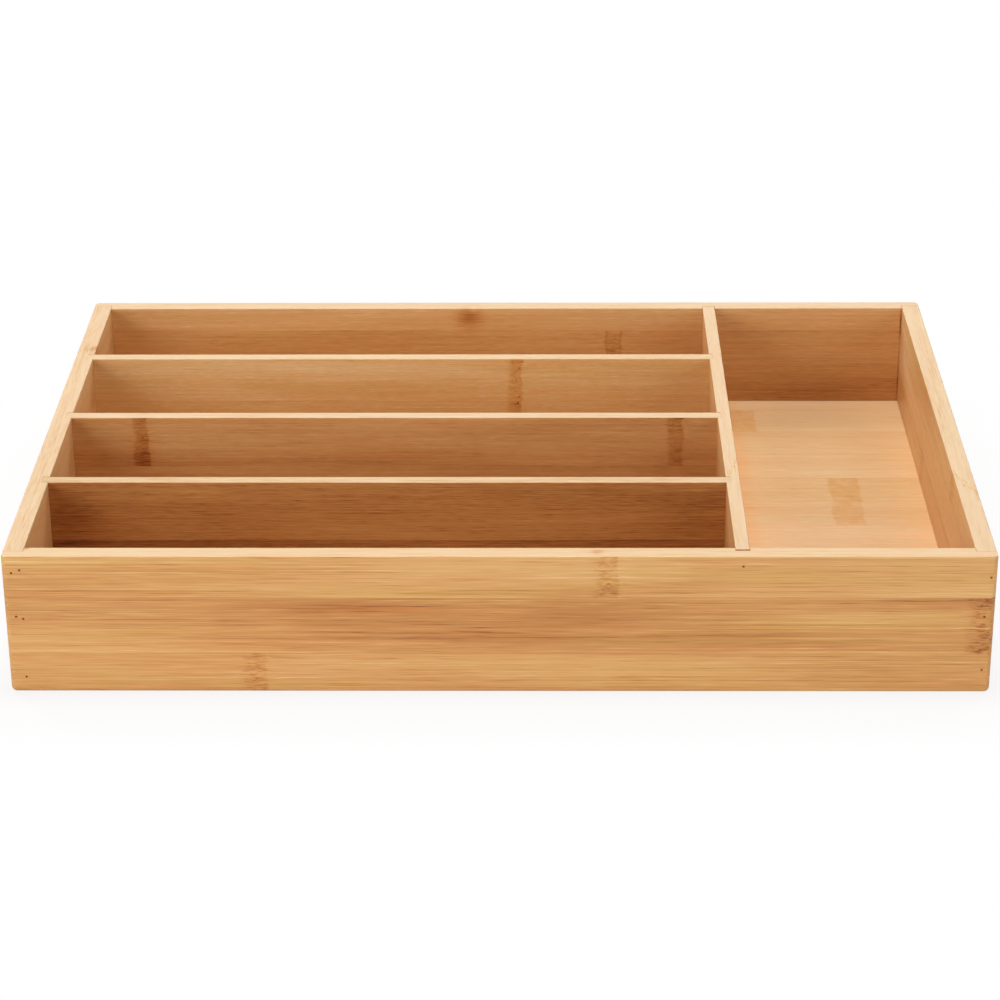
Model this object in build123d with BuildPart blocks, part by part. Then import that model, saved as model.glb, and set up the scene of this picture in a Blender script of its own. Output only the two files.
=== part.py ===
from build123d import *
import os

# Cutlery tray of glued bamboo boards, in millimetres.
# It stands on z = 0 with +Z up, and its middle is at x = 0, y = 0.
# The front faces -Y, and the wide compartment is at the right, +X.

# Overall size
tray_width = 355.0
tray_length = 250.0
tray_height = 55.0

# Boards
wall_thickness = 7.5
divider_thickness = 5.2
base_thickness = 4.0
base_recess = 7.8  # from the table up to the underside of the base panel

# Compartments
wide_compartment_width = 80.3
# The middle of each cross divider, as a share of the clear length from the front wall back
cross_divider_shares = (0.2483, 0.5083, 0.7679)

# Rounded edges
outer_round = 2.0  # the tray's outer corners and its bottom edges
outer_edge_ease = 0.7  # the tray's outer top edges, sanded after gluing
inner_edge_ease = 0.4  # the other top edges, only broken with sandpaper

# How deep each board is let into its neighbour, as a share of the neighbour's thickness
rabbet_share = 0.42
groove_share = 0.40
wall_housing_share = 0.33
divider_housing_share = 0.30

# Play in the joints
corner_gap = 0.1  # between a side wall's end and the bottom of its rabbet
end_gap = 0.3  # between the long divider's back end, or the base's edge, and the bottom of its housing
front_end_gap = 1.0  # between the long divider's front end and the bottom of its housing, where a gap shows
cross_end_gap = 0.05  # between a cross divider's end and the bottom of its housing, where no gap shows
side_gap = 0.05  # beside a board in its housing

# Headless steel pins, driven through the end walls
pin_radius = 0.4
pin_length = 16.0
pin_sink = 0.9  # from the wall's face to the pin's head
pin_gap = 0.05
pin_point_share = 0.7

# Each pin of a corner is given by its inset from the tray's side, as a share of the wall's thickness,
# and its height. High pins are placed by shares of the tray's height, foot pins by shares of the recess.
front_left_high_shares = ((0.47, 0.88), (0.87, 0.90), (0.54, 0.563), (0.87, 0.546))
front_left_foot_shares = ((0.80, 0.83),)
front_right_high_shares = ((0.30, 0.85), (0.50, 0.567))
front_right_foot_shares = ((0.45, 1.23),)
back_high_shares = ((0.50, 0.86), (0.50, 0.55))
back_foot_shares = ((0.50, 0.70),)
divider_pin_height_share = 0.93

# How far a cut runs on past the face that it opens
overrun = 1.0

# Worked out from the sizes above
inner_width = tray_width - 2 * wall_thickness
inner_length = tray_length - 2 * wall_thickness
base_top = base_recess + base_thickness
rabbet_depth = rabbet_share * wall_thickness
groove_depth = groove_share * wall_thickness
wall_housing = wall_housing_share * wall_thickness
divider_housing = divider_housing_share * divider_thickness
side_wall_length = tray_length - 2 * (wall_thickness - rabbet_depth + corner_gap)
housing_width = divider_thickness + 2 * side_gap
divider_height = tray_height - base_top

# The long divider stands left of the wide compartment
divider_right = inner_width / 2 - wide_compartment_width
divider_left = divider_right - divider_thickness
divider_middle = divider_right - divider_thickness / 2
cross_divider_places = [inner_length * (share - 1 / 2) for share in cross_divider_shares]

# A cut that starts at the bottom of its housing runs from there towards the tray's middle
towards_middle = {-1: Align.MIN, 1: Align.MAX}
FRONT, BACK, LEFT, RIGHT = -1, 1, -1, 1

os.makedirs("parts", exist_ok=True)


def corner_pins(side, high_shares, foot_shares):
    """The pins of one corner, each as its place (x, z) on the end wall's face."""
    heights = [(inset, share * tray_height) for inset, share in high_shares]
    heights += [(inset, share * base_recess) for inset, share in foot_shares]
    return [(side * (tray_width / 2 - inset * wall_thickness), height) for inset, height in heights]


# Every group of pins: its name, the end wall that it goes through, the side wall that it holds
# (none for the long divider) and its places
divider_pin_place = (divider_middle, divider_pin_height_share * tray_height)
pin_groups = [
    ("pins_front_left", FRONT, LEFT, corner_pins(LEFT, front_left_high_shares, front_left_foot_shares)),
    ("pins_front_right", FRONT, RIGHT, corner_pins(RIGHT, front_right_high_shares, front_right_foot_shares)),
    ("pins_back_left", BACK, LEFT, corner_pins(LEFT, back_high_shares, back_foot_shares)),
    ("pins_back_right", BACK, RIGHT, corner_pins(RIGHT, back_high_shares, back_foot_shares)),
    ("pin_divider_front", FRONT, None, [divider_pin_place]),
    ("pin_divider_back", BACK, None, [divider_pin_place]),
]


def drill_pin_holes(end, places):
    """Drills the board that is being built from the tray's front or back face inwards, at places (x, z)."""
    with BuildSketch(Plane.XZ.offset(-end * tray_length / 2)) as mouths:
        with Locations(*places):
            Circle(pin_radius + pin_gap)
    extrude(mouths.sketch, amount=end * (pin_sink + pin_length + pin_gap), mode=Mode.SUBTRACT)


def finish_piece(piece, name):
    """Labels the finished piece and writes its file."""
    piece.part.label = name
    export_step(piece.part, f"parts/{name}.step")


def make_end_wall(name, end):
    """The front or back wall: the tray's full width, with a rabbet at each end for the side walls."""
    with BuildPart() as wall:
        with BuildSketch():
            with Locations((0, end * (tray_length - wall_thickness) / 2)):
                Rectangle(tray_width, wall_thickness)
        extrude(amount=tray_height)

        # round the two outer corners and the bottom edges, all but the inner one
        corners = wall.edges().filter_by(Axis.Z).sort_by(Axis.Y, reverse=end == BACK)[:2]
        bottom_edges = wall.faces().sort_by(Axis.Z)[0].edges().sort_by(Axis.Y, reverse=end == BACK)[:3]
        fillet(corners + bottom_edges, radius=outer_round)

        # ease the top edges, the inner one less than the others
        top_edges = wall.faces().sort_by(Axis.Z)[-1].edges().sort_by(Axis.Y, reverse=end == FRONT)
        fillet(top_edges[1:], radius=outer_edge_ease)
        inner_edge = wall.faces().sort_by(Axis.Z)[-1].edges().sort_by(Axis.Y, reverse=end == FRONT)[0]
        fillet(inner_edge, radius=inner_edge_ease)

        # rabbets for the side walls
        with BuildSketch():
            for side in (LEFT, RIGHT):
                shoulder = side * (inner_width / 2 - side_gap)
                with Locations((shoulder, end * (inner_length / 2 + rabbet_depth))):
                    Rectangle(
                        wall_thickness + side_gap + overrun,
                        rabbet_depth + overrun,
                        align=(towards_middle[-side], towards_middle[end]),
                    )
        extrude(amount=tray_height, mode=Mode.SUBTRACT)

        # groove for the base panel
        with BuildSketch(Plane.YZ):
            with Locations((end * (inner_length / 2 + groove_depth), base_recess)):
                Rectangle(
                    groove_depth + overrun,
                    base_thickness + side_gap,
                    align=(towards_middle[end], Align.MIN),
                )
        extrude(amount=tray_width / 2, both=True, mode=Mode.SUBTRACT)

        # housing for the long divider
        with BuildSketch(Plane.XY.offset(base_top)):
            with Locations((divider_middle, end * (inner_length / 2 + wall_housing))):
                Rectangle(housing_width, wall_housing + overrun, align=(Align.CENTER, towards_middle[end]))
        extrude(amount=divider_height, mode=Mode.SUBTRACT)

        for _, group_end, _, places in pin_groups:
            if group_end == end:
                drill_pin_holes(end, places)
    finish_piece(wall, name)


def make_side_wall(name, side):
    """The left or right wall, which ends in the rabbets of the front and back walls."""
    with BuildPart() as wall:
        with BuildSketch():
            with Locations((side * (tray_width - wall_thickness) / 2, 0)):
                Rectangle(wall_thickness, side_wall_length)
        extrude(amount=tray_height)

        # round the outer bottom edge, then ease the two top edges, the inner one less than the outer one
        bottom_edges = wall.faces().sort_by(Axis.Z)[0].edges().filter_by(Axis.Y)
        fillet(bottom_edges.sort_by(Axis.X, reverse=side == RIGHT)[0], radius=outer_round)
        top_face = wall.faces().sort_by(Axis.Z)[-1]
        top_edges = top_face.edges().filter_by(Axis.Y).sort_by(Axis.X, reverse=side == RIGHT)
        fillet(top_edges[0], radius=outer_edge_ease)
        fillet(top_edges[1], radius=inner_edge_ease)

        # groove for the base panel
        with BuildSketch(Plane.XZ):
            with Locations((side * (inner_width / 2 + groove_depth), base_recess)):
                Rectangle(
                    groove_depth + overrun,
                    base_thickness + side_gap,
                    align=(towards_middle[side], Align.MIN),
                )
        extrude(amount=tray_length / 2, both=True, mode=Mode.SUBTRACT)

        # housings for the cross dividers, in the left wall only
        if side == LEFT:
            with BuildSketch(Plane.XY.offset(base_top)):
                with Locations(*[(-inner_width / 2 - wall_housing, place) for place in cross_divider_places]):
                    Rectangle(wall_housing + overrun, housing_width, align=(Align.MIN, Align.CENTER))
            extrude(amount=divider_height, mode=Mode.SUBTRACT)

        for _, end, group_side, places in pin_groups:
            if group_side == side:
                drill_pin_holes(end, places)
    finish_piece(wall, name)


def make_long_divider():
    """The divider that runs front to back, and stands on the base panel."""
    front_end = -inner_length / 2 - wall_housing + front_end_gap
    back_end = inner_length / 2 + wall_housing - end_gap
    with BuildPart() as divider:
        with BuildSketch(Plane.XY.offset(base_top)):
            with Locations((divider_middle, front_end)):
                Rectangle(divider_thickness, back_end - front_end, align=(Align.CENTER, Align.MIN))
        extrude(amount=divider_height)
        fillet(divider.faces().sort_by(Axis.Z)[-1].edges().filter_by(Axis.Y), radius=inner_edge_ease)

        # housings for the cross dividers, in its left face
        with BuildSketch(Plane.XY.offset(base_top)):
            with Locations(*[(divider_left + divider_housing, place) for place in cross_divider_places]):
                Rectangle(divider_housing + overrun, housing_width, align=(Align.MAX, Align.CENTER))
        extrude(amount=divider_height, mode=Mode.SUBTRACT)

        for _, end, side, places in pin_groups:
            if side is None:
                drill_pin_holes(end, places)
    finish_piece(divider, "long_divider")


def make_cross_divider(name, place):
    """One of the three dividers between the left wall and the long divider."""
    left_end = -inner_width / 2 - wall_housing + cross_end_gap
    right_end = divider_left + divider_housing - cross_end_gap
    with BuildPart() as divider:
        with BuildSketch(Plane.XY.offset(base_top)):
            with Locations((left_end, place)):
                Rectangle(right_end - left_end, divider_thickness, align=(Align.MIN, Align.CENTER))
        extrude(amount=divider_height)
        fillet(divider.faces().sort_by(Axis.Z)[-1].edges().filter_by(Axis.X), radius=inner_edge_ease)
    finish_piece(divider, name)


def make_base_panel():
    """The floor of all five compartments, let into the grooves of the four walls."""
    let_in = groove_depth - end_gap
    with BuildPart() as base:
        with BuildSketch(Plane.XY.offset(base_recess)):
            Rectangle(inner_width + 2 * let_in, inner_length + 2 * let_in)
        extrude(amount=base_thickness)
    finish_piece(base, "base_panel")


def make_pins(name, end, places):
    """A group of pins, sunk below the face of the end wall that they go through."""
    with BuildPart() as pins:
        with BuildSketch(Plane.XZ.offset(-end * (tray_length / 2 - pin_sink))):
            with Locations(*places):
                Circle(pin_radius)
        extrude(amount=end * pin_length)
        tips = pins.faces().group_by(Axis.Y)[-1 if end == FRONT else 0]
        chamfer(tips.edges(), length=pin_point_share * pin_radius)
    finish_piece(pins, name)


make_end_wall("front_wall", FRONT)
make_end_wall("back_wall", BACK)
make_side_wall("left_wall", LEFT)
make_side_wall("right_wall", RIGHT)
make_long_divider()
cross_divider_names = ("cross_divider_front", "cross_divider_middle", "cross_divider_rear")
for divider_name, divider_place in zip(cross_divider_names, cross_divider_places):
    make_cross_divider(divider_name, divider_place)
make_base_panel()
for group_name, group_end, _, group_places in pin_groups:
    make_pins(group_name, group_end, group_places)
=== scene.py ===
# %% [markdown]
# A bamboo cutlery tray, dressed for its picture. The tray was modelled in CAD. The tray stands on z = 0,
# and its front is towards -Y.

# %% Load the imported tray
from collections import namedtuple
from math import pi, radians

import bpy
import numpy as np
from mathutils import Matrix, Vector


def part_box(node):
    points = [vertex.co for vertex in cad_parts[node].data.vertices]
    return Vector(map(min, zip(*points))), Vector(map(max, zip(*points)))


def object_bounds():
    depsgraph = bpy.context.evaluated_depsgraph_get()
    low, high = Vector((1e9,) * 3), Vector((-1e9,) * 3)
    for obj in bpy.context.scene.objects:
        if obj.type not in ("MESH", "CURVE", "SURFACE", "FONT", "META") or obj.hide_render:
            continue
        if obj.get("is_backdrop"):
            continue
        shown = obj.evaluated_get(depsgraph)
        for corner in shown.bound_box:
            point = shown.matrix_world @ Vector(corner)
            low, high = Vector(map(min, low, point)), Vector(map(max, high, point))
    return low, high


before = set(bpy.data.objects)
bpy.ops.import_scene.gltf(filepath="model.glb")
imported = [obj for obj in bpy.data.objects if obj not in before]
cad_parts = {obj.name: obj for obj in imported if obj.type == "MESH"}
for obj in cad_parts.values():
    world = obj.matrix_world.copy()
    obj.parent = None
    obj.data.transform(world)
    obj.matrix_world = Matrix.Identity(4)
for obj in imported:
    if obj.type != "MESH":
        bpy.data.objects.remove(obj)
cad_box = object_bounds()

MM = 0.001
lowest, highest = cad_box
print("the tray measures", [round(length / MM, 1) for length in highest - lowest], "mm")

# %% [markdown]
# The photograph looks down on the tray from the front, through a long lens. Blender's camera looks
# along its own -Z. Turned about X by 90 degrees it looks level along +Y, and by a little less than
# that it looks down. The tip, the distance and the lens come from the tray's edges in the photograph.
# The lens isn't shifted, because a shift would stay when other views are taken.

# %% Set the camera
camera_place = (0.01526, -1.06293, 0.51461)
camera_tip_down = radians(25.0)
camera_turn_left = radians(0.805)
camera_lens = 105.88

camera = bpy.data.objects.new("camera", bpy.data.cameras.new("camera"))
camera.location = camera_place
camera.rotation_mode = "YXZ"
camera.rotation_euler = (pi / 2 - camera_tip_down, camera_turn_left, 0)
camera.data.lens = camera_lens
bpy.context.collection.objects.link(camera)
bpy.context.scene.camera = camera
bpy.context.scene.view_settings.view_transform = "Standard"
print("the camera is", round(camera.location.length, 2), "m from the middle of the tray")

# %% [markdown]
# A finish is a small net of nodes. Written out one by one, nodes hide the idea that they stand for,
# so two short classes let each finish be written as sums. A Wire is what comes out of a node, and
# adding or multiplying wires adds Math nodes.

# %% Write numbers in a finish as sums
class Wire:
    """A number, place or colour on its way through a finish."""

    def __init__(self, finish, socket):
        self.finish = finish
        self.socket = socket

    def math(self, operation, *numbers):
        """A Math node on these numbers and wires."""
        return self.finish.add("ShaderNodeMath", {"operation": operation}, dict(enumerate(numbers)))

    def __add__(self, other):
        return self.math("ADD", self, other)

    def __sub__(self, other):
        return self.math("SUBTRACT", self, other)

    def __rsub__(self, other):
        return self.math("SUBTRACT", other, self)

    def __mul__(self, other):
        return self.math("MULTIPLY", self, other)

    def __truediv__(self, other):
        return self.math("DIVIDE", self, other)

    def __abs__(self):
        return self.math("ABSOLUTE", self)

    def __gt__(self, other):
        return self.math("GREATER_THAN", self, other)

    def __round__(self):
        return self.math("ROUND", self)

    __radd__ = __add__
    __rmul__ = __mul__

    def hump(self, width):
        """1 where this wire is 0, falling to either side like a bell of this width."""
        return self.math("EXPONENT", self * self * (-1 / width**2))

    def ramp(self, start, end):
        """0 up to start, 1 from end on, and a smooth rise between them."""
        settings = {"interpolation_type": "SMOOTHSTEP"}
        inputs = {"Value": self, "From Min": start, "From Max": end}
        return self.finish.add("ShaderNodeMapRange", settings, inputs)


# %% [markdown]
# A Finish is one material. Its add method makes any node from its kind, its settings and its inputs,
# and its vector method does so for the nodes that work on places and colours.

# %% Make any node with one call
class Finish:
    """One material, and the nodes that it is made of."""

    def __init__(self, name, kind=bpy.data.materials):
        self.material = kind.new(name)
        self.material.use_nodes = True
        self.tree = self.material.node_tree
        self.tree.nodes.clear()

    def add(self, kind, settings=None, inputs=None, output=0):
        """Adds a node of this kind, sets its settings and inputs, and gives one of its outputs as a wire."""
        node = self.tree.nodes.new(kind)
        for name, value in (settings or {}).items():
            if name == "stops":
                set_stops(node.color_ramp, value)
            else:
                setattr(node, name, value)
        for name, value in (inputs or {}).items():
            if isinstance(value, Wire):
                self.tree.links.new(value.socket, node.inputs[name])
            else:
                node.inputs[name].default_value = value
        return Wire(self, node.outputs[output])

    def vector(self, operation, *vectors):
        """A Vector Math node on these places or colours."""
        return self.add("ShaderNodeVectorMath", {"operation": operation}, dict(enumerate(vectors)))

    def length(self, vector):
        """How long a vector is."""
        return self.add("ShaderNodeVectorMath", {"operation": "LENGTH"}, {0: vector}, "Value")

    def mix(self, factor, first, second):
        """The first colour where the factor is 0, and the second where it is 1."""
        inputs = {0: factor, 6: first, 7: second}
        return self.add("ShaderNodeMix", {"data_type": "RGBA"}, inputs, 2)

    def end(self, surface, kind="ShaderNodeOutputMaterial"):
        """Joins the finished surface to the output, and gives the material."""
        self.tree.links.new(surface.socket, self.tree.nodes.new(kind).inputs["Surface"])
        return self.material


def set_stops(ramp, stops):
    """Gives a colour ramp these stops, each a place from 0 to 1 and a colour."""
    while len(ramp.elements) < len(stops):
        ramp.elements.new(1.0)
    for element, (place, colour) in zip(ramp.elements, stops):
        element.position = place
        element.color = colour


# %% [markdown]
# In the photograph the tray stands on nothing but white. Light Path tells the rays that come from the
# camera, or reach it by a mirror, from those that carry light about. The world is white for the first
# kind and almost dark for the second, so that lamps alone light the tray. The floor does the same, but
# near the tray it keeps a share of its own light and shade, so that the tray stands in a faint shadow.
# How far a point is from the tray is the length of what is left of its place, once half the tray's
# size has been taken from it along X and along Y, and nothing less than zero has been left.

# %% Lay the white floor
def seen_directly(finish):
    """1 for rays from the camera and rays that reach it by a mirror or through glass, and 0 for the rest."""
    rays = [finish.add("ShaderNodeLightPath", output=ray)
            for ray in ("Is Camera Ray", "Is Glossy Ray", "Is Transmission Ray")]
    return sum(rays) > 0.5


def grid_piece(name, points, material):
    """A mesh from an array of points, rows by columns by 3: each four neighbours make a face."""
    rows, columns = points.shape[:2]
    first = (np.arange(rows - 1)[:, None] * columns + np.arange(columns - 1)).reshape(-1, 1)
    faces = first + np.array([0, 1, columns + 1, columns])
    mesh = bpy.data.meshes.new(name)
    mesh.from_pydata(points.reshape(-1, 3).tolist(), [], faces.tolist())
    mesh.materials.append(material)
    piece = bpy.data.objects.new(name, mesh)
    bpy.context.collection.objects.link(piece)
    return piece


floor_reach = 3.0
floor_lines = 13
floor_white = (0.9, 0.9, 0.9, 1.0)
shade_share = 0.14
shade_width = 0.05

floor_finish = Finish("floor_white")
lit = floor_finish.add("ShaderNodeBsdfDiffuse", inputs={"Color": floor_white})
glow = floor_finish.add("ShaderNodeEmission", inputs={"Strength": 1.0})
floor_place = floor_finish.add("ShaderNodeTexCoord", output="Object")
from_middle = floor_finish.vector("ABSOLUTE", floor_place)
half_size = tuple((highest - lowest) / 2)
from_tray = floor_finish.vector("MAXIMUM", floor_finish.vector("SUBTRACT", from_middle, half_size), (0, 0, 0))
own_shade = (1 - floor_finish.length(from_tray).ramp(0.0, shade_width)) * shade_share
floor_mix = seen_directly(floor_finish) * (1 - own_shade)
floor_surface = floor_finish.add("ShaderNodeMixShader", inputs={0: floor_mix, 1: lit, 2: glow})

steps = np.linspace(-floor_reach, floor_reach, floor_lines)
across_floor, along_floor = np.meshgrid(steps, steps)
floor_points = np.stack([across_floor, along_floor, 0 * along_floor], axis=-1)
grid_piece("floor", floor_points, floor_finish.end(floor_surface))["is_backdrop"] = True
print("the floor is", 2 * floor_reach, "m wide")

# %% [markdown]
# The boards' ends lie in soft shadow, about as long as the boards are deep, and darker at the left than
# at the right. Such shadows come from broad lamps low at both sides, the left one stronger. The floor of
# the wide compartment is lit evenly to within a centimetre of its walls, so the light from above comes
# from a small lamp. Two lamps behind the tray light the inner faces of its side walls.

# %% Light the tray
Lamp = namedtuple("Lamp", "place width watts")

world_light = 0.024
world_white = (1.0, 1.0, 1.0, 1.0)
room = Finish("white_room", bpy.data.worlds)
room_strength = seen_directly(room) * (1 - world_light) + world_light
room_inputs = {"Color": world_white, "Strength": room_strength}
room_surface = room.add("ShaderNodeBackground", inputs=room_inputs)
bpy.context.scene.world = room.end(room_surface, "ShaderNodeOutputWorld")

lamps = {
    "lamp_above": Lamp((0.0, 0.0, 1.6), 0.4, 11.5),
    "lamp_front_left": Lamp((-1.25, -1.4, 0.55), 1.1, 17.5),
    "lamp_front_right": Lamp((1.25, -1.4, 0.55), 1.1, 9.0),
    "lamp_back_left": Lamp((-1.0, 1.0, 1.1), 0.8, 10.0),
    "lamp_back_right": Lamp((1.0, 1.0, 1.1), 0.8, 8.5),
}
for name, lamp in lamps.items():
    light = bpy.data.objects.new(name, bpy.data.lights.new(name, "AREA"))
    light.data.size = lamp.width
    light.data.energy = lamp.watts
    light.location = lamp.place
    light.rotation_euler = light.location.to_track_quat("Z", "Y").to_euler()
    light.visible_camera = False
    bpy.context.collection.objects.link(light)
    print(name, "shines from", round(light.location.length, 2), "m away")

# %% [markdown]
# Each board is glued up from bamboo strips about 20 mm wide. Every strip has its own shade, its fibres
# run its whole length, and it has a knuckle every 20 cm or more, where the living cane had a joint.
# A picture of wood could be wrapped round the boards, but it would stretch at their edges and show the
# same marks twice. Here the pattern fills space instead, and each board is cut out of it.
# The Object output of Texture Coordinate gives a point's place in the tray. Its X, Y and Z are sorted
# into the way along the grain, the way across the strips and the way through the board.

# %% Find a point's place in its board
def parts_of(finish, vector):
    """The X, Y and Z of a vector, as wires by name."""
    node = finish.add("ShaderNodeSeparateXYZ", inputs={0: vector}).socket.node
    return {axis: Wire(finish, node.outputs[axis]) for axis in "XYZ"}


def join(finish, place):
    """A vector from its three parts."""
    return finish.add("ShaderNodeCombineXYZ", inputs=dict(enumerate(place)))


def tray_place(finish):
    """A point's place in the tray, in millimetres."""
    metres = finish.add("ShaderNodeTexCoord", output="Object")
    return finish.vector("DIVIDE", metres, (MM, MM, MM))


def board_place(finish, board):
    """How far a point is along the grain, across the strips and through the board, in millimetres."""
    parts = parts_of(finish, tray_place(finish))
    through = ({"X", "Y", "Z"} - {board.grain, board.across}).pop()
    return parts[board.grain], parts[board.across], parts[through]


# %% [markdown]
# Fibres are noise that has been stretched: the place is divided by the length of a streak along the
# grain, and by its width the other two ways, before the noise is looked up. Real fibres run on for the
# whole strip, and pores and dashes lie between them, so long streaks and short ones are added up. A
# few streaks stand out from the rest, which is what multiplying the noise by its own size does.
# A Streak gives the length and width of one kind of blot, in millimetres, and its weight in the sum. Its
# seed moves it to a part of the noise that no other kind uses.

# %% Draw fibres
Streak = namedtuple("Streak", "length width weight seed")
Fibres = namedtuple("Fibres", "fine medium broad hue")

fine_streaks = [Streak(120, 0.42, 1.0, seed=0), Streak(14, 0.40, 1.0, seed=3)]
medium_streaks = [Streak(240, 1.7, 1.0, seed=7), Streak(50, 1.9, 0.8, seed=8)]
broad_streaks = [Streak(130, 13, 1.0, seed=13)]
hue_streaks = [Streak(150, 3.2, 1.0, seed=19), Streak(30, 2.0, 0.5, seed=20)]
plain_fibre = 0.55
standing_out = 2.4


def noise(finish, length, width, place, seed=0.0):
    """Noise about 0, mostly between -0.2 and 0.2, in blots of this length along the grain and this width."""
    stretched = [distance / size + seed for distance, size in zip(place, (length, width, width))]
    inputs = {"Vector": join(finish, stretched), "Scale": 1.0, "Detail": 1.0}
    return finish.add("ShaderNodeTexNoise", inputs=inputs) - 0.5


def draw_streaks(finish, place, streaks, run, seed):
    """The sum of these streaks, each by its weight. Run is the share of their length that they keep."""
    return sum(noise(finish, streak.length * run, streak.width, place, seed + streak.seed) * streak.weight
               for streak in streaks)


def draw_fibres(finish, place, run, seed):
    """Streaks of all widths. The broad ones keep their length on every board."""
    fine = draw_streaks(finish, place, fine_streaks, run, seed)
    return Fibres(
        fine=fine * (abs(fine) * standing_out + plain_fibre),
        medium=draw_streaks(finish, place, medium_streaks, run, seed),
        broad=draw_streaks(finish, place, broad_streaks, 1.0, seed),
        hue=draw_streaks(finish, place, hue_streaks, run, seed),
    )


# %% [markdown]
# Where two strips meet there is a thin dark line, and to either side of it the shade changes. The line
# isn't quite straight. Strips are told apart by asking of each line whether the point is past it.

# %% Tell the strips apart
Strip = namedtuple("Strip", "tone warmth knuckle spacing", defaults=[400])

joint_waver = Streak(60, 400, 1.0, seed=0)
line_width = 0.22
strip_shift = 137.0


def pick(past, values):
    """The first value on the first strip, the second on the next, and so on."""
    chosen = values[0]
    for step, below, above in zip(past, values, values[1:]):
        chosen = step * (above - below) + chosen
    return chosen


def sort_strips(finish, board, place, seed):
    """The strip values at a point, how far its pattern is shifted along the grain, and the dark lines."""
    along, across, through = place
    across = across + draw_streaks(finish, place, [joint_waver], 1.0, seed)
    past = [across > joint for joint in board.joints]
    strip = Strip(*[pick(past, values) for values in zip(*board.strips)])
    shift = pick(past, [strip_shift * number for number in range(len(board.strips))])
    lines = sum((across - joint).hump(line_width) for joint in board.joints)
    return strip, shift, lines


# %% [markdown]
# A knuckle is a band straight across its strip. One edge of the band is soft, and the other is clear.
# It is darker than the strip, more so where brown dots show the ends of bundles that were cut across,
# and short bent dashes flare out on both sides of it. On some boards its rim stands out as a thin line.
# Some of it shows on the board's top edge as well, where the saw went through the knuckle.

# %% Draw knuckles
Knuckle = namedtuple("Knuckle", "width soft tone mottle dots dashes reach rim on_top")

rough_edge = [Streak(2.5, 1.3, 1.5, seed=9), Streak(8, 7, 3.0, seed=10)]
clear_edge = (-0.5, 0.7)
dots_per_mm = 0.55
dot_size = 0.42
dot_edge = 0.16
dash_swerve = Streak(4.0, 3.0, 2.0, seed=21)
pale_dash_share = 0.5
rim_width = 0.6


def from_knuckle(along, place, spacing):
    """How far a point is from the nearest knuckle of its strip, less on one side and more on the other."""
    turns = (along - place) / spacing
    return (turns - round(turns)) * spacing


def draw_knuckle(finish, away, place, knuckle, seed):
    """How much darker a knuckle makes a point, from 0 to about 0.6."""
    along, across, through = place
    half = knuckle.width / 2
    ragged = away + draw_streaks(finish, place, rough_edge, 1.0, seed)
    band = (ragged + half).ramp(-knuckle.soft, knuckle.soft) * (half - ragged).ramp(*clear_edge)
    blotches = noise(finish, 5, 6, place, seed + 15) * knuckle.mottle + 1

    cells = finish.add("ShaderNodeTexVoronoi", inputs={"Vector": join(finish, place), "Scale": dots_per_mm})
    kept = noise(finish, 3, 3, place, seed + 11).ramp(-0.06, 0.06)
    dots = (dot_size - cells).ramp(0.0, dot_edge) * kept * (away - half * 0.4).hump(half * 0.9)

    swerved = (along, across + draw_streaks(finish, place, [dash_swerve], 1.0, seed), through)
    dash = noise(finish, 3.2, 0.6, swerved, seed + 31)
    dashes = dash.ramp(-0.02, 0.2) - (dash * -1).ramp(0.02, 0.2) * pale_dash_share
    dashes = dashes * away.hump(knuckle.reach)

    rims = (abs(ragged) - half).hump(rim_width)
    return band * blotches * knuckle.tone + dots * knuckle.dots + dashes * knuckle.dashes + rims * knuckle.rim


# %% [markdown]
# Here and there a cane was darker or paler for some centimetres, and a few marks on the tray are no
# knuckles: a brown spot, and the dark slit where a corner doesn't quite close, which is painted shade.
# More painted shade lies in a corner of a top edge, along the foot of a wall and of a divider, and at
# the end of a divider. Each such stain or shade is a soft blot at a place in the tray, with its own
# reach along X, Y and Z.

# %% Lay stains and painted shades
Stain = namedtuple("Stain", "place reach tone warmth", defaults=[0.0])


def stain_or_shade_strength(finish, stain_or_shade):
    """1 in the middle of a stain or painted shade, falling to all sides like a bell with its reach."""
    away = finish.vector("SUBTRACT", tray_place(finish), stain_or_shade.place)
    shares = finish.vector("DIVIDE", away, stain_or_shade.reach)
    return finish.length(shares).hump(1.0)


# %% [markdown]
# All shades of the bamboo lie on one line from dark brown through honey to pale cream, so one number,
# the light, picks the colour from a ramp. A second number, the warmth, turns it towards red or yellow.
# The sawn edges of the strips, which are the top edges of the boards, are paler and have less colour.
# The marks of a knuckle are browner than the strip: they take blue from its colour.
# The ramp's colours are written as they show on a screen, and are turned into the light they stand for.

# %% Mix the bamboo's colours
def screen(red, green, blue):
    """A colour given as it shows on a screen, from 0 to 255, as the light that Blender works in."""
    shares = np.array([red, green, blue]) / 255
    light = np.where(shares <= 0.04045, shares / 12.92, ((shares + 0.055) / 1.055) ** 2.4)
    return (*light.tolist(), 1.0)


honey = [
    (0.0, screen(110, 54, 18)),
    (0.15, screen(164, 98, 42)),
    (0.3, screen(197, 132, 68)),
    (0.5, screen(219, 157, 90)),
    (0.7, screen(233, 179, 113)),
    (1.0, screen(249, 213, 160)),
]
cream = screen(244, 210, 168)
blush = (1.04, 0.93, 0.84)
straw = (0.97, 1.04, 0.92)
browner = (1.02, 0.97, 0.84)
full_warmth = 0.7


def bamboo_colour(finish, light, warm, pale, tint):
    """The ramp's colour at this light, tinted, mixed with cream where pale, and made redder or yellower."""
    colour = finish.add("ShaderNodeValToRGB", {"stops": honey}, {"Fac": light})
    colour = finish.mix(pale, finish.vector("MULTIPLY", colour, tint), cream)
    colour = finish.mix(warm.ramp(0.0, full_warmth), colour, finish.vector("MULTIPLY", colour, blush))
    return finish.mix((warm * -1).ramp(0.0, full_warmth), colour, finish.vector("MULTIPLY", colour, straw))


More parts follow.
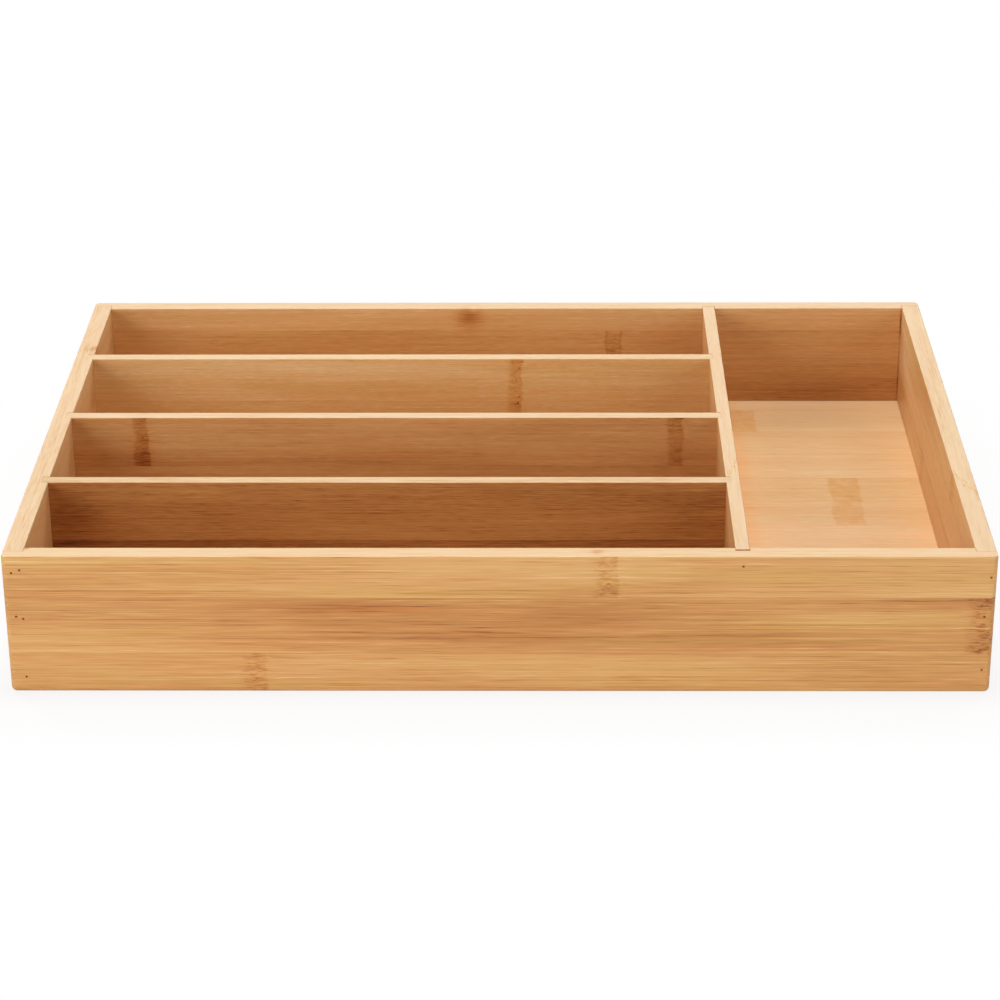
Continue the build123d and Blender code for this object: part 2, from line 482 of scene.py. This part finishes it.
# %% [markdown]
# A board's finish puts these together. Its faces differ: across the grain the cut ends of the fibres
# show as fine dots, and the top edges are pale with yellow and pink patches. The Normal output of
# Texture Coordinate tells which way a face looks. Fine fibres are a little shinier than what lies
# between them, and stand up from it by a few hundredths of a millimetre.
# Depths and shares below are changes of the light. Reaches are in millimetres. Facing is how squarely a
# face must look along an axis, from the start of its change to the end of it, to count as a top or an end.

# %% Make a board's finish
Board = namedtuple("Board", "grain across joints strips knuckle tone top contrast run tint stains slant")

fibre_shares = Fibres(fine=0.38, medium=0.17, broad=0.5, hue=1.6)
middle_light = 0.5
line_depth = 0.07
facing = (0.6, 0.9)
swerve_reach = 8
swerve = Streak(7, 2.6, 2.5, seed=5)
end_depth = 0.06
pore_depth = 0.25
pores_per_mm = 0.95
pore_size = 0.45
top_patches = [Streak(26, 2.4, 1.0, seed=41), Streak(7, 1.0, 0.7, seed=42)]
pale_share = 0.62
pale_from, pale_at = 0.45, 0.75
patch_paleness = 1.1
patch_warmth = 0.9
warmth_lost = 0.4
knuckle_full_brown = 0.3
bump_strength = 0.15
fibre_height = 0.05 * MM
satin = 0.42
fibre_shine = 0.15


def bamboo(name, board, seed):
    """The finish of one board."""
    finish = Finish(name)
    place = along, across, through = board_place(finish, board)
    strip, shift, lines = sort_strips(finish, board, place, seed)
    place = along + shift, across, through

    slope, middle = board.slant
    away = from_knuckle(along + (through - middle) * slope, strip.knuckle, strip.spacing)
    swerved = across + away.hump(swerve_reach) * draw_streaks(finish, place, [swerve], 1.0, seed)
    place = place[0], swerved, through
    fibres = draw_fibres(finish, place, board.run, seed)

    normal = parts_of(finish, finish.add("ShaderNodeTexCoord", output="Normal"))
    top = normal["Z"].ramp(*facing) * (board.across == "Z")
    light = strip.tone + (middle_light + board.tone)
    light = light + top * (board.top - light)
    streaks = fibres.fine * fibre_shares.fine + fibres.broad * fibre_shares.broad
    light = light + (streaks + fibres.medium * fibre_shares.medium) * board.contrast
    shown = 1 - top * (1 - board.knuckle.on_top)
    knuckle = draw_knuckle(finish, away, place, board.knuckle, seed) * shown
    light = light - knuckle - lines * line_depth
    warm = strip.warmth + fibres.hue * fibre_shares.hue * board.contrast
    # Each blot is a real stain or a painted shade, and changes the light and the warmth.
    for stain_or_shade in board.stains:
        strength = stain_or_shade_strength(finish, stain_or_shade)
        light = light + strength * stain_or_shade.tone
        warm = warm + strength * stain_or_shade.warmth

    end = abs(normal[board.grain]).ramp(*facing)
    cut_face = join(finish, (across, through, 0))
    cells = finish.add("ShaderNodeTexVoronoi", inputs={"Vector": cut_face, "Scale": pores_per_mm})
    light = light - end * (end_depth + (pore_size - cells).ramp(0.1, 0.25) * pore_depth)

    patches = draw_streaks(finish, place, top_patches, 1.0, seed)
    pale = top * (pale_share - patches * patch_paleness) * light.ramp(pale_from, pale_at)
    warm = warm + top * (patches * patch_warmth - warm * warmth_lost)
    colour = bamboo_colour(finish, light, warm, pale, board.tint)
    brown = finish.vector("MULTIPLY", colour, browner)
    colour = finish.mix(knuckle.ramp(0.0, knuckle_full_brown), colour, brown)

    height = fibres.fine + fibres.medium * 0.5
    bump = finish.add("ShaderNodeBump", inputs={
        "Strength": bump_strength, "Distance": fibre_height, "Height": height})
    surface = finish.add("ShaderNodeBsdfPrincipled", inputs={
        "Base Color": colour, "Roughness": satin - fibres.fine * fibre_shine, "Normal": bump})
    return finish.end(surface)


# %% [markdown]
# Now each board is told apart by its own strips, from the bottom up, with their knuckles where the
# photograph shows them. The knuckles on the front wall are hardly darker than the wall, and full of
# dashes. In the middle strip the cane was darker for a third of the wall's length.

# %% Describe the front wall
front_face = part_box("front_wall")[0][1] / MM
tray_top = highest[2] / MM
straight = (0.0, 0.0)
plain = (1.0, 1.0, 1.0)
muted = (0.91, 0.97, 1.14)

dashed_knuckle = Knuckle(
    width=8.0, soft=3.5, tone=0.1, mottle=1.0, dots=0.03, dashes=0.19, reach=4.5, rim=0.0, on_top=0.3)

boards = {}
boards["front_wall"] = Board(
    grain="X", across="Z", joints=[16.1, 38.7], knuckle=dashed_knuckle,
    tone=0.01, top=0.78, contrast=1.0, run=1.0, tint=plain, slant=straight,
    strips=[
        Strip(tone=-0.03, warmth=-0.2, knuckle=-87.9, spacing=300),
        Strip(tone=-0.03, warmth=-0.12, knuckle=173.1),
        Strip(tone=0.06, warmth=-0.25, knuckle=38.8, spacing=260),
    ],
    stains=[
        Stain((-52, front_face, 34.5), (38, 4, 2), tone=-0.07, warmth=0.9),
        Stain((34, front_face, 31), (26, 4, 6), tone=-0.13, warmth=0.3),
        Stain((-20, front_face, 22), (40, 4, 2.5), tone=-0.04, warmth=0.3),
        Stain((95, front_face, 9), (110, 4, 9), tone=0.13),
        Stain((-130, front_face, 29), (36, 4, 5), tone=0.0, warmth=-0.2),
        Stain((125, front_face, 29), (36, 4, 5), tone=0.05, warmth=-0.4),
        Stain((35, -121, tray_top), (2.5, 1.6, 2), tone=-0.3),
        # Painted shade in the inner corner where the front wall's top edge meets the left wall.
        Stain((-169.5, -118.5, tray_top), (1.5, 0.7, 1.5), tone=-0.5),
    ],
)

# %% [markdown]
# The back wall shows its inner face. One mark is a soft brown blot under its top edge, and one knuckle
# is a faint band with a thin brown outline. At its right, in the wide compartment, the lower strips are
# darker, and painted shade darkens it further towards the floor. Where it meets the right wall, painted
# shade makes a dark slit, for a corner that doesn't quite close.

# %% Describe the back wall
inner_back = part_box("back_wall")[0][1] / MM
ringed_knuckle = Knuckle(
    width=6.5, soft=1.5, tone=0.1, mottle=2.0, dots=0.06, dashes=0.12, reach=5.0, rim=0.14, on_top=0.1)

boards["back_wall"] = Board(
    grain="X", across="Z", joints=[22.4, 44.7], knuckle=ringed_knuckle,
    tone=0.1, top=0.84, contrast=0.8, run=0.4, tint=muted, slant=straight,
    strips=[
        Strip(tone=-0.12, warmth=0.0, knuckle=-160.0),
        Strip(tone=-0.05, warmth=0.0, knuckle=46.4),
        Strip(tone=0.04, warmth=0.0, knuckle=200.0),
    ],
    stains=[
        Stain((-15.7, inner_back, 51), (5.5, 5, 5), tone=-0.38, warmth=0.5),
        Stain((45.4, inner_back, 35.5), (1.8, 3, 1.5), tone=-0.2),
        # Painted shade: darker towards the floor in the wide compartment.
        Stain((140, inner_back, 10), (75, 5, 18), tone=-0.17, warmth=0.1),
        # Painted shade: the dark slit where the back wall meets the right wall.
        Stain((169.8, inner_back, 49), (0.5, 3, 6), tone=-0.6),
        Stain((169.8, inner_back, 26), (0.4, 3, 16), tone=-0.25),
        Stain((-14, inner_back + 1, tray_top), (1.5, 2, 2), tone=0.2),
    ],
)

# %% [markdown]
# The side walls run from front to back. On the top edge of the right one a knuckle runs aslant: the
# cane wasn't sawn straight. Slant gives how far a knuckle moves along the grain for each millimetre
# through the board, and the place through the board where it doesn't move.

# %% Describe the side walls
boards["left_wall"] = Board(
    grain="Y", across="Z", joints=[18.0, 39.0], knuckle=dashed_knuckle,
    tone=0.21, top=0.71, contrast=0.8, run=0.5, tint=muted, slant=straight,
    strips=[
        Strip(tone=0.03, warmth=0.0, knuckle=40.0, spacing=300),
        Strip(tone=0.0, warmth=0.0, knuckle=-90.0, spacing=300),
        Strip(tone=0.02, warmth=0.0, knuckle=71.7, spacing=300),
    ],
    stains=[
        Stain((-171, 71.7, tray_top), (3, 3, 2), tone=-0.2),
    ],
)

sawn_knuckle = dashed_knuckle._replace(on_top=0.9)

boards["right_wall"] = Board(
    grain="Y", across="Z", joints=[27.0, 43.0], knuckle=sawn_knuckle,
    tone=0.08, top=0.8, contrast=0.8, run=0.5, tint=muted, slant=(2.8, 173.75),
    strips=[
        Strip(tone=-0.09, warmth=0.0, knuckle=20.0, spacing=300),
        Strip(tone=0.04, warmth=0.1, knuckle=160.0, spacing=300),
        Strip(tone=0.02, warmth=-0.2, knuckle=-64.0, spacing=300),
    ],
    stains=[
        Stain((170, 100, 40), (5, 40, 22), tone=0.2),
    ],
)

# %% [markdown]
# The long divider and the three cross dividers are thinner boards of two strips. Each cross divider is
# darker than the one behind it. Their knuckles are dark bands, dotted along their clear edge. On the
# middle one they look smeared, with hardly a dot, and one has a brown stain in its middle.

# %% Describe the dividers
banded_knuckle = Knuckle(
    width=5.0, soft=1.4, tone=0.2, mottle=1.2, dots=0.3, dashes=0.1, reach=6.0, rim=0.03, on_top=0.1)

boards["long_divider"] = Board(
    grain="Y", across="Z", joints=[29.0], knuckle=sawn_knuckle,
    tone=0.12, top=0.86, contrast=0.8, run=0.5, tint=muted, slant=(-3.5, 87.1),
    strips=[
        Strip(tone=0.0, warmth=0.0, knuckle=160.0, spacing=300),
        Strip(tone=0.02, warmth=0.05, knuckle=-50.0, spacing=300),
    ],
    stains=[],
)

boards["cross_divider_front"] = Board(
    grain="X", across="Z", joints=[31.0], knuckle=banded_knuckle,
    tone=-0.22, top=0.7, contrast=0.7, run=0.4, tint=(0.88, 0.96, 1.12), slant=straight,
    strips=[
        Strip(tone=-0.1, warmth=0.0, knuckle=200.0),
        Strip(tone=0.01, warmth=0.0, knuckle=200.0),
    ],
    stains=[
        # Painted shade at the left end, by the left wall.
        Stain((-165, -62, 38), (14, 6, 12), tone=-0.12),
    ],
)

smeared_knuckle = banded_knuckle._replace(soft=2.0, tone=0.2, mottle=0.3, dots=0.07, rim=0.06)

boards["cross_divider_middle"] = Board(
    grain="X", across="Z", joints=[34.3], knuckle=smeared_knuckle,
    tone=0.01, top=0.8, contrast=0.8, run=0.4, tint=muted, slant=straight,
    strips=[
        Strip(tone=0.01, warmth=-0.1, knuckle=200.0),
        Strip(tone=0.0, warmth=0.1, knuckle=-142.6, spacing=211),
    ],
    stains=[
        Stain((-142.6, -0.6, 41), (4, 5, 7), tone=-0.1, warmth=0.7),
        Stain((68.4, -0.6, 43), (2, 5, 30), tone=0.05),
    ],
)

boards["cross_divider_rear"] = Board(
    grain="X", across="Z", joints=[36.0], knuckle=banded_knuckle,
    tone=0.25, top=0.82, contrast=0.8, run=0.3, tint=(0.92, 1.0, 1.1), slant=straight,
    strips=[
        Strip(tone=-0.03, warmth=0.0, knuckle=4.8),
        Strip(tone=0.0, warmth=0.0, knuckle=4.8),
    ],
    stains=[],
)

# %% [markdown]
# The base panel is the widest board, eleven strips side by side, flat instead of on edge. Its strips
# differ more from each other than the walls' do, and its knuckles are broad faint squares.

# %% Describe the base panel
square_knuckle = Knuckle(
    width=11.5, soft=1.2, tone=0.12, mottle=2.0, dots=0.03, dashes=0.05, reach=6.0, rim=0.04, on_top=1.0)

boards["base_panel"] = Board(
    grain="X", across="Y", knuckle=square_knuckle,
    joints=[-100.0, -77.0, -54.0, -31.0, -8.0, 13.6, 36.6, 60.1, 84.2, 107.0],
    tone=0.33, top=1.0, contrast=0.6, run=0.35, tint=(0.99, 1.01, 1.07), slant=straight,
    strips=[
        Strip(tone=0.0, warmth=0.1, knuckle=30.0),
        Strip(tone=0.02, warmth=0.0, knuckle=-80.0),
        Strip(tone=-0.02, warmth=0.2, knuckle=90.0),
        Strip(tone=0.02, warmth=0.3, knuckle=-20.0),
        Strip(tone=0.06, warmth=0.3, knuckle=-60.0),
        Strip(tone=0.0, warmth=0.0, knuckle=137.9),
        Strip(tone=0.0, warmth=-0.2, knuckle=138.8),
        Strip(tone=0.03, warmth=0.1, knuckle=-60.0),
        Strip(tone=0.05, warmth=0.0, knuckle=10.0),
        Strip(tone=0.12, warmth=-0.1, knuckle=101.2),
        Strip(tone=0.1, warmth=0.0, knuckle=40.0),
    ],
    stains=[
        Stain((138.3, 14, 11.8), (8, 14, 4), tone=0.0, warmth=-0.3),
        # Painted shade along the foot of the long divider, warmed like light bounced from it.
        Stain((97.5, 30, 11.8), (4, 200, 4), tone=-0.05, warmth=0.4),
    ],
)

# %% Dress the boards
seeds_apart = 10.0

for number, (node, board) in enumerate(boards.items()):
    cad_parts[node].material_slots[0].material = bamboo(f"bamboo_{node}", board, seeds_apart * number)
    print(node, "has", len(board.strips), "strips and", len(board.stains), "stains")

# %% [markdown]
# The corners are held by headless steel pins, driven through the front and back walls and sunk just
# below the face. Only their heads show, tarnished to a dull brown. Nothing is left of the shine of
# steel, so the finish isn't metallic: a rough brown gives back the look of the photograph's small dots.

# %% Dress the pins
steel = Finish("pin_steel")
steel_material = steel.end(steel.add("ShaderNodeBsdfPrincipled", inputs={
    "Base Color": (0.7, 0.28, 0.06, 1), "Roughness": 0.8}))
pins = [node for name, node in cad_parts.items() if name.startswith("pin")]
for node in pins:
    node.material_slots[0].material = steel_material
print(len(pins), "groups of pins dressed")

# %% [markdown]
# The tray must be as large as it was in CAD. Both boxes are written down, so that they can be compared.

# %% Write the sizes and finish
new_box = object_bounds()
boxes = {"cad": cad_box, "visual": new_box}
{name: [list(corner) for corner in box] for name, box in boxes.items()}
